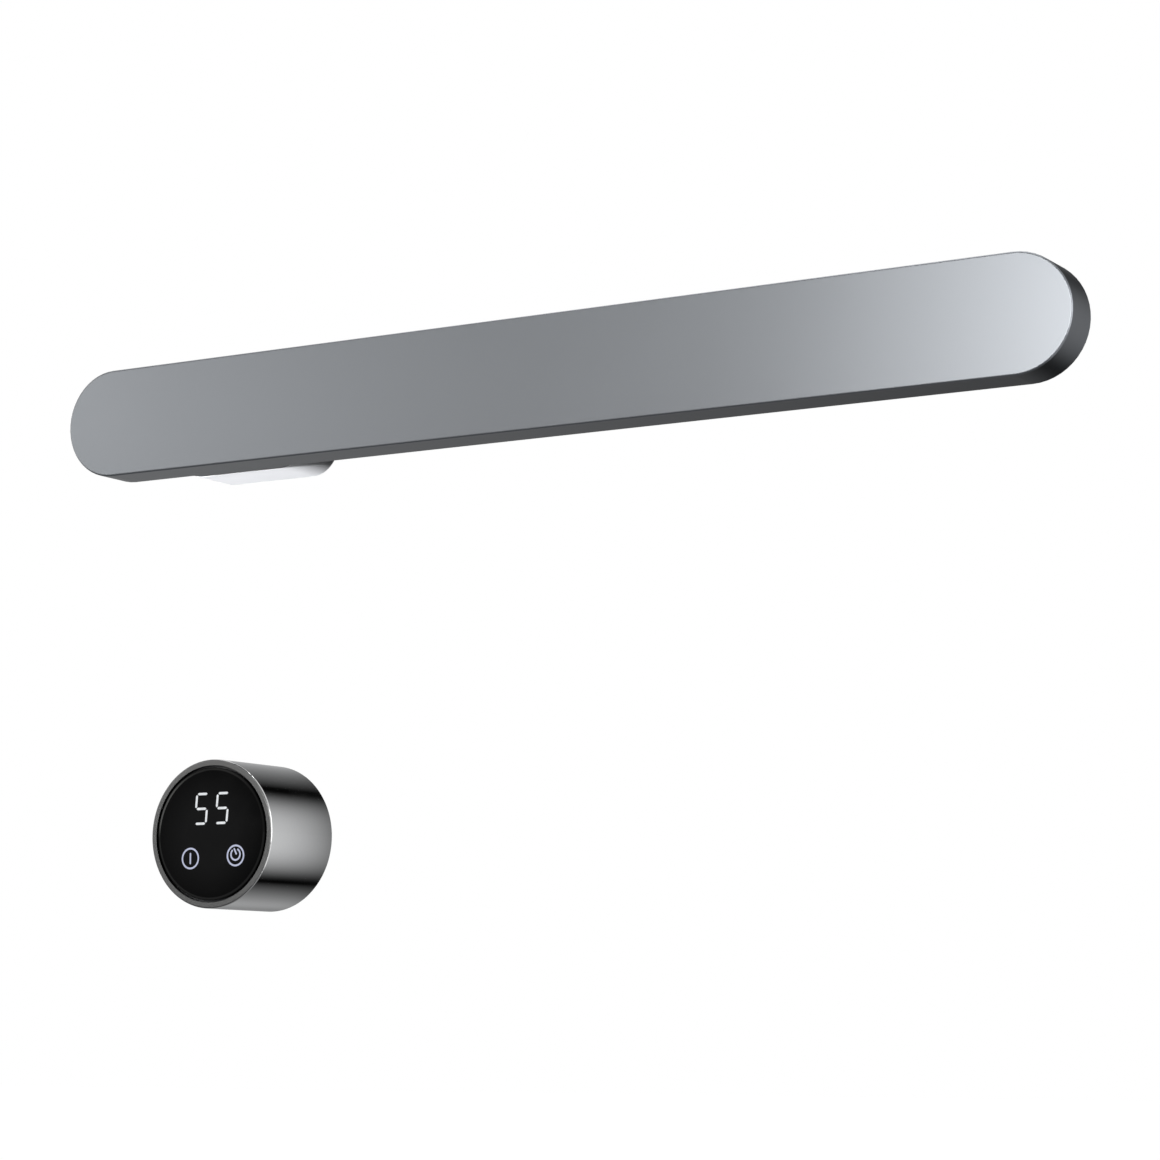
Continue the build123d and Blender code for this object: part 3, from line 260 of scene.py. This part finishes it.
def front_glass(name):
    """Black printed glass with a little dust in its gloss, duller towards its edge, with painted shade
    that darkens it towards its edge.
    """
    material, tree, shader, place = new_material(name)
    # Painted shade: the glass darkens from here out to near its edge
    edge_shade_start = glass_radius - 0.019
    edge_shade_end = glass_radius - 0.0015
    edge_shade_share = 0.74
    bevel_start = glass_radius - 0.0005
    bevel_end = glass_radius - 0.0001
    face_gloss = 0.14
    bevel_gloss = 0.03
    dark_print = (0.017, 0.017, 0.0175, 1.0)
    light_print = (0.02, 0.02, 0.0205, 1.0)
    dust_low = 0.4
    dust_high = 0.8
    clean_roughness = 0.06
    dusty_roughness = 0.12

    smears = noise(tree, place, scale=22.0, detail=3.0)
    dust = noise(tree, place, scale=70.0, detail=6.0)
    print_tone = colour_mix(tree, smears, dark_print, light_print)
    away = distance(tree, *from_axis(tree, add(tree, "ShaderNodeSeparateXYZ", {"Vector": place})))
    # Painted shade: the print grows darker towards the glass's edge
    edge = remap(tree, away, edge_shade_start, edge_shade_end, 0.0, edge_shade_share)
    feed(tree, shader, {
        "Base Color": colour_mix(tree, edge, print_tone, black),
        "Roughness": remap(tree, dust, dust_low, dust_high, clean_roughness, dusty_roughness),
        "Specular IOR Level": remap(tree, away, bevel_start, bevel_end, face_gloss, bevel_gloss),
    })
    return material


def lit_mark(name, colour, strength, unevenness):
    """Mark lit from behind, a little uneven along its length."""
    material, tree, shader, place = new_material(name)
    glow = over_noise(tree, noise(tree, place, scale=420.0), 1 - unevenness, 1.0)
    feed(tree, shader, {
        "Emission Color": shades(tree, glow, colour, darkest=0.0, lightest=1.0),
        "Emission Strength": strength,
        "Base Color": (0.05, 0.05, 0.05, 1.0),
        "Roughness": 0.3,
    })
    return material


def zinc_steel(name, colour, roughness):
    """Zinc-plated steel with its faint crystal pattern."""
    material, tree, shader, place = new_material(name)
    crystals = add(tree, "ShaderNodeTexVoronoi", {"Vector": place, "Scale": 260.0}).outputs["Distance"]
    contrast = 1.2
    far_crystal = 0.8
    smoother = 0.06
    rougher = 0.08
    feed(tree, shader, {
        "Base Color": shades(tree, product(tree, crystals, contrast), colour, darkest=0.88, lightest=1.08),
        "Roughness": remap(tree, crystals, 0.0, far_crystal, roughness - smoother, roughness + rougher),
        "Metallic": 1.0,
    })
    return material


def brushed_metal(name, colour, roughness):
    """Metal with fine lines along the bar."""
    material, tree, shader, place = new_material(name)
    line_stretch = (12.0, 1800.0, 1800.0)
    rough_swing = 0.06
    lines = noise(tree, stretched(tree, place, line_stretch), scale=1.0, detail=3.0)
    feed(tree, shader, {
        "Base Color": shades(tree, lines, colour, darkest=0.9, lightest=1.08),
        "Roughness": over_noise(tree, lines, roughness - rough_swing, roughness + rough_swing),
        "Normal": bump(tree, lines, strength=0.15, depth=0.00003),
        "Metallic": 1.0,
    })
    return material


def moulding(name, colour, roughness, grain_scale=900.0):
    """Moulded plastic, rubber or silicone with the fine texture of its mould."""
    material, tree, shader, place = new_material(name)
    grain = noise(tree, place, scale=grain_scale)
    tone = over_noise(tree, noise(tree, place, scale=30.0, detail=3.0), 0.0, 1.0)
    rough_swing = 0.05
    feed(tree, shader, {
        "Base Color": shades(tree, tone, colour, darkest=0.9, lightest=1.1),
        "Roughness": over_noise(tree, grain, roughness - rough_swing, roughness + rough_swing),
        "Normal": bump(tree, grain, strength=0.2, depth=0.00004),
    })
    return material


def circuit_board(name):
    """Green board with the lines of its copper under the lacquer."""
    material, tree, shader, place = new_material(name)
    board_face = (1.0, 0.0, 1.0)
    lacquer = (0.03, 0.17, 0.07, 1.0)
    copper = (0.06, 0.28, 0.12, 1.0)
    flat = stretched(tree, place, board_face)
    tracks = add(tree, "ShaderNodeTexBrick", {"Vector": flat, "Scale": 160.0}).outputs["Fac"]
    feed(tree, shader, {
        "Base Color": colour_mix(tree, tracks, lacquer, copper),
        "Roughness": over_noise(tree, noise(tree, place, scale=200.0), to_low=0.22, to_high=0.32),
    })
    return material


finishes = {
    "gunmetal": partial(satin_metal, colour=(0.162, 0.17, 0.184), roughness=0.295),
    "polished_gunmetal": polished_sleeve,
    "bright_collar": collar_paint,
    "inner_steel": partial(zinc_steel, colour=(0.55, 0.56, 0.57), roughness=0.38),
    "screw_steel": partial(zinc_steel, colour=(0.62, 0.62, 0.63), roughness=0.28),
    "aluminium": partial(brushed_metal, colour=(0.78, 0.79, 0.8), roughness=0.32),
    "silicone": partial(moulding, colour=(0.62, 0.3, 0.16), roughness=0.6),
    "heater_alloy": partial(brushed_metal, colour=(0.5, 0.44, 0.36), roughness=0.4),
    "lead_brown": partial(moulding, colour=(0.23, 0.1, 0.05), roughness=0.5),
    "lead_blue": partial(moulding, colour=(0.05, 0.2, 0.55), roughness=0.5),
    "lead_white": partial(moulding, colour=(0.85, 0.85, 0.83), roughness=0.5),
    "lead_green": partial(moulding, colour=(0.25, 0.5, 0.1), roughness=0.5),
    "black_rubber": partial(moulding, colour=(0.03, 0.03, 0.03), roughness=0.7),
    "ceramic": partial(moulding, colour=(0.88, 0.86, 0.8), roughness=0.25, grain_scale=300.0),
    "terminal_brass": partial(brushed_metal, colour=(0.72, 0.56, 0.27), roughness=0.3),
    "black_glass": front_glass,
    "lit_white": partial(lit_mark, colour=(0.94, 0.97, 1.0), strength=0.86, unevenness=0.24),
    "key_ink": partial(lit_mark, colour=(0.47, 0.5, 0.66), strength=1.0, unevenness=0.12),
    "black_plastic": partial(moulding, colour=(0.04, 0.04, 0.045), roughness=0.5),
    "acetal": partial(moulding, colour=(0.9, 0.9, 0.87), roughness=0.4),
    "board_green": circuit_board,
    "component_blue": partial(moulding, colour=(0.08, 0.2, 0.5), roughness=0.35),
    "component_black": partial(moulding, colour=(0.05, 0.05, 0.05), roughness=0.4),
    "adhesive": partial(moulding, colour=(0.012, 0.012, 0.012), roughness=0.8),
}

# Every CAD node keeps its shape and takes the finish of its slot
made = {slot: build(slot) for slot, build in finishes.items()}
for row in frame["record"]["subparts"]:
    piece = frame["nodes"][row["node"]]
    piece.data.materials.clear()
    piece.data.materials.append(made[row["material_slot"]])


def bare_material(name):
    """Material without nodes, and its tree."""
    material = bpy.data.materials.new(name)
    material.use_nodes = True
    material.node_tree.nodes.clear()
    return material, material.node_tree


def one_sided(tree, front, bare):
    """Shader that shows in front and is clear where bare is 1."""
    sided = add(tree, "ShaderNodeMixShader", {"Fac": bare})
    tree.links.new(front, sided.inputs[1])
    tree.links.new(add(tree, "ShaderNodeBsdfTransparent").outputs[0], sided.inputs[2])
    add(tree, "ShaderNodeOutputMaterial", {"Surface": sided.outputs[0]})


def build_world():
    """White room for the camera, reflections and glass, and an even plain light on what is matt."""
    world = bpy.data.worlds.new("room")
    scene.world = world
    world.use_nodes = True
    tree = world.node_tree
    tree.nodes.clear()
    path = add(tree, "ShaderNodeLightPath").outputs
    mirrored = maths(tree, "MAXIMUM", path["Is Glossy Ray"], path["Is Transmission Ray"])
    seen = maths(tree, "MAXIMUM", path["Is Camera Ray"], mirrored)
    strength = remap(tree, seen, 0.0, 1.0, room_light, 1.0)
    background = add(tree, "ShaderNodeBackground", {"Color": white, "Strength": strength})
    add(tree, "ShaderNodeOutputWorld", {"Surface": background.outputs["Background"]})


def plane(name, width, height, place, facing):
    """Flat stage piece with its centre at a place, turned to face a direction."""
    mesh = bpy.data.meshes.new(name)
    x, y = width / 2, height / 2
    mesh.from_pydata([(-x, -y, 0), (x, -y, 0), (x, y, 0), (-x, y, 0)], [], [(0, 1, 2, 3)])
    piece = bpy.data.objects.new(name, mesh)
    scene.collection.objects.link(piece)
    piece.location = place
    piece.rotation_euler = Vector(facing).to_track_quat("Z", "Y").to_euler()
    return piece


def build_floor():
    """Pale floor that the camera sees as white and that keeps the object's shadow; clear from below."""
    floor = plane("floor", floor_side, floor_side, (0, 0, floor_height), upwards)
    floor.visible_glossy = False
    material, tree = bare_material("floor_paint")
    camera_ray = add(tree, "ShaderNodeLightPath").outputs["Is Camera Ray"]
    paint = add(tree, "ShaderNodeBsdfDiffuse", {"Color": floor_paint})
    light = add(tree, "ShaderNodeEmission", {"Color": white, "Strength": floor_glow})
    mixed = add(tree, "ShaderNodeMixShader", {"Fac": product(tree, camera_ray, floor_glow_share)})
    tree.links.new(paint.outputs[0], mixed.inputs[1])
    tree.links.new(light.outputs[0], mixed.inputs[2])
    one_sided(tree, mixed.outputs[0], add(tree, "ShaderNodeNewGeometry").outputs["Backfacing"])
    floor.data.materials.append(material)


def card_material(name, sheen, cover, tint):
    """Light of a studio card on its front; its back, and what its cover leaves bare, is clear."""
    material, tree = bare_material(name)
    geometry = add(tree, "ShaderNodeNewGeometry").outputs
    spot = add(tree, "ShaderNodeSeparateXYZ", {"Vector": geometry["Position"]})
    glow = add(tree, "ShaderNodeEmission", {"Color": tint, "Strength": sheen(tree, spot)})
    bare = geometry["Backfacing"]
    if cover:
        bare = maths(tree, "MAXIMUM", bare, maths(tree, "SUBTRACT", 1.0, cover(tree, spot)))
    one_sided(tree, glow.outputs[0], bare)
    return material


def card(name, size, place, facing, sheen, cover=None, tint=card_tint, on_matt=False):
    """Studio card that shows only in reflections, and to matt finishes if it says so."""
    piece = plane(name, *size, place, facing)
    piece.visible_camera = False
    piece.visible_diffuse = on_matt
    piece.visible_shadow = False
    piece.visible_transmission = False
    piece.data.materials.append(card_material(name, sheen, cover, tint))


def wall_card():
    """What the metal mirrors beyond the wall: bright to the right, dark in the middle, grey to the left.

    The left side is dimmer in a level band low down.
    """
    size = (16.0, 10.0)
    centre = (0, 3.6, -0.3)
    right_start = 0.72
    right_end = 3.05
    right_glow = 0.77
    right_top = 0.5
    right_foot = -1.2
    right_foot_gain = 1.07
    left_top = 2.2
    left_foot = -2.7
    left_start_top = 0.45
    left_start_foot = 0.6
    left_reach = 3.5
    left_glow = 0.48
    left_foot_gain = 1.33
    band_height = -0.85
    band_full = 0.3
    band_end = 1.6
    band_near = -1.0
    band_far = -3.0
    band_near_share = 0.48
    band_far_share = 0.56
    least_glow = 0.001

    def sheen(tree, spot):
        across, height = spot.outputs["X"], spot.outputs["Z"]
        right = product(tree, remap(tree, across, right_start, right_end, 0.0, right_glow, smooth=True),
                        remap(tree, height, right_top, right_foot, 1.0, right_foot_gain))
        low = remap(tree, height, left_top, left_foot, 0.0, 1.0)
        start = remap(tree, low, 0.0, 1.0, left_start_top, left_start_foot)
        left = remap(tree, maths(tree, "SUBTRACT", start, across), 0.0, left_reach, 0.0, left_glow)
        off_band = maths(tree, "ABSOLUTE", maths(tree, "SUBTRACT", height, band_height))
        band_share = remap(tree, across, band_near, band_far, band_near_share, band_far_share)
        band = remap(tree, off_band, band_full, band_end, band_share, 1.0, smooth=True)
        left = product(tree, left, remap(tree, low, 0.0, 1.0, 1.0, left_foot_gain), band)
        return total(tree, right, left, least_glow)

    card("wall_card", size, centre, into_room, sheen)


def control_shade():
    """Painted shade: a dark veil on the wall that stands for the sleeve's shade there and shows only in
    reflections; it fades away from the sleeve's right side.
    """
    side = 5 * sleeve_radius
    reach = 2 * sleeve_radius
    standoff = 0.0005
    tone = 0.01
    painted_shade_share = 0.77
    fade_power = 1.6
    side_power = 2.0

    # Painted shade, darkest beside the sleeve and on its right
    def cover(tree, spot):
        across, up = from_axis(tree, spot)
        away = distance(tree, across, up)
        near = remap(tree, away, sleeve_radius, reach, painted_shade_share, 0.0)
        rightness = maths(tree, "MAXIMUM", maths(tree, "DIVIDE", across, away), 0.0)
        return product(tree, maths(tree, "POWER", near, fade_power),
                       maths(tree, "POWER", rightness, side_power))

    card("control_shade", (side, side), (sleeve_centre.x, standoff, sleeve_centre.z), into_room,
         lambda tree, spot: tone, cover=cover)


def front_card():
    """What the bar's face mirrors: a bright strip and a slow rise to the left, in one level band."""
    size = (6.4, 1.7)
    centre = (-0.8, -2.2, 0.75)
    tint = (1.0, 1.0, 0.975, 1.0)
    strip_start = -0.674
    strip_full = 0.42
    strip_fade = 0.3
    strip_end = 0.95
    strip_glow = 15.4
    left_start = -0.6
    left_full = -2.47
    left_glow = 3.92
    band_height = 0.45
    band_full = 0.2
    band_end = 0.5
    least_glow = 0.59

    def sheen(tree, spot):
        across, height = spot.outputs["X"], spot.outputs["Z"]
        strip = product(tree, remap(tree, across, strip_start, strip_full, 0.0, strip_glow, smooth=True),
                        remap(tree, across, strip_fade, strip_end, 1.0, 0.0, smooth=True))
        left = remap(tree, across, left_start, left_full, 0.0, left_glow, smooth=True)
        off_band = maths(tree, "ABSOLUTE", maths(tree, "SUBTRACT", height, band_height))
        band = remap(tree, off_band, band_full, band_end, 1.0, 0.0, smooth=True)
        return total(tree, product(tree, total(tree, strip, left), band), least_glow)

    card("front_card", size, centre, towards_wall, sheen, tint=tint)


def glass_flag():
    """Dim card that the glass mirrors, brighter towards its left end."""
    size = (0.86, 0.8)
    centre = (-1.6, -2.13, -0.08)
    facing = (0.6, 0.8, 0)
    right_end = -1.44
    left_end = -1.68
    right_glow = 0.05
    left_glow = 0.35

    def sheen(tree, spot):
        return remap(tree, spot.outputs["X"], right_end, left_end, right_glow, left_glow)

    card("glass_flag", size, centre, facing, sheen)


def floor_card():
    """Grey card over the floor, which the underside mirrors and matt finishes see as black."""
    size = (4.2, 3.0)
    centre = (-1.05, -0.7, -1.1)
    glow = 0.3

    def sheen(tree, spot):
        return product(tree, add(tree, "ShaderNodeLightPath").outputs["Is Glossy Ray"], glow)

    card("floor_card", size, centre, upwards, sheen, on_matt=True)


def top_card():
    """Bright card overhead, for the bar's top edge, brighter to the right."""
    size = (2.4, 1.15)
    centre = (-0.6, -0.08, 2.0)
    left_end = -1.7
    right_end = -0.2
    left_glow = 1.3
    right_glow = 4.5

    def sheen(tree, spot):
        return remap(tree, spot.outputs["X"], left_end, right_end, left_glow, right_glow)

    card("top_card", size, centre, downwards, sheen)


def collar_flag():
    """Dark card beside the collar's right end."""
    size = (0.24, 0.08)
    centre = (0.06, 0.03, -0.01)
    tone = 0.02
    card("collar_flag", size, centre, leftwards, lambda tree, spot: tone, on_matt=True)


def lamp(name, kind, place, target, **settings):
    """Lamp turned from its place towards a point."""
    light = bpy.data.lights.new(name, kind)
    for setting, value in settings.items():
        setattr(light, setting, value)
    piece = bpy.data.objects.new(name, light)
    scene.collection.objects.link(piece)
    piece.location = place
    piece.rotation_euler = (Vector(target) - piece.location).to_track_quat("-Z", "Y").to_euler()
    return piece


def right_softbox():
    """Broad lamp at the right, which only gloss shows."""
    place = (2.4, -1.2, 0.3)
    target = (0.55, -0.1, 0.0)
    piece = lamp("right_softbox", "AREA", place, target, energy=40.0, shape="RECTANGLE",
                 size=1.5, size_y=2.0)
    piece.visible_diffuse = False


def collar_spot():
    """Narrow lamp from below and in front, which leaves the bar's shadow on the collar."""
    place = (-0.25, -1.5, -0.3153)
    target = (0.0, -0.02, -0.02)
    piece = lamp("collar_spot", "SPOT", place, target, energy=840.0, spot_size=math.radians(7.0),
                 spot_blend=0.3, shadow_soft_size=0.01)
    piece.visible_glossy = False


def build_camera():
    data = bpy.data.cameras.new("camera")
    data.lens = camera_lens
    data.sensor_width = sensor_width
    camera = bpy.data.objects.new("camera", data)
    scene.collection.objects.link(camera)
    camera.location = camera_place
    camera.rotation_euler = camera_aim.to_track_quat("-Z", "Y").to_euler()
    scene.camera = camera


build_world()
build_floor()
wall_card()
control_shade()
front_card()
glass_flag()
floor_card()
top_card()
collar_flag()
right_softbox()
collar_spot()
build_camera()
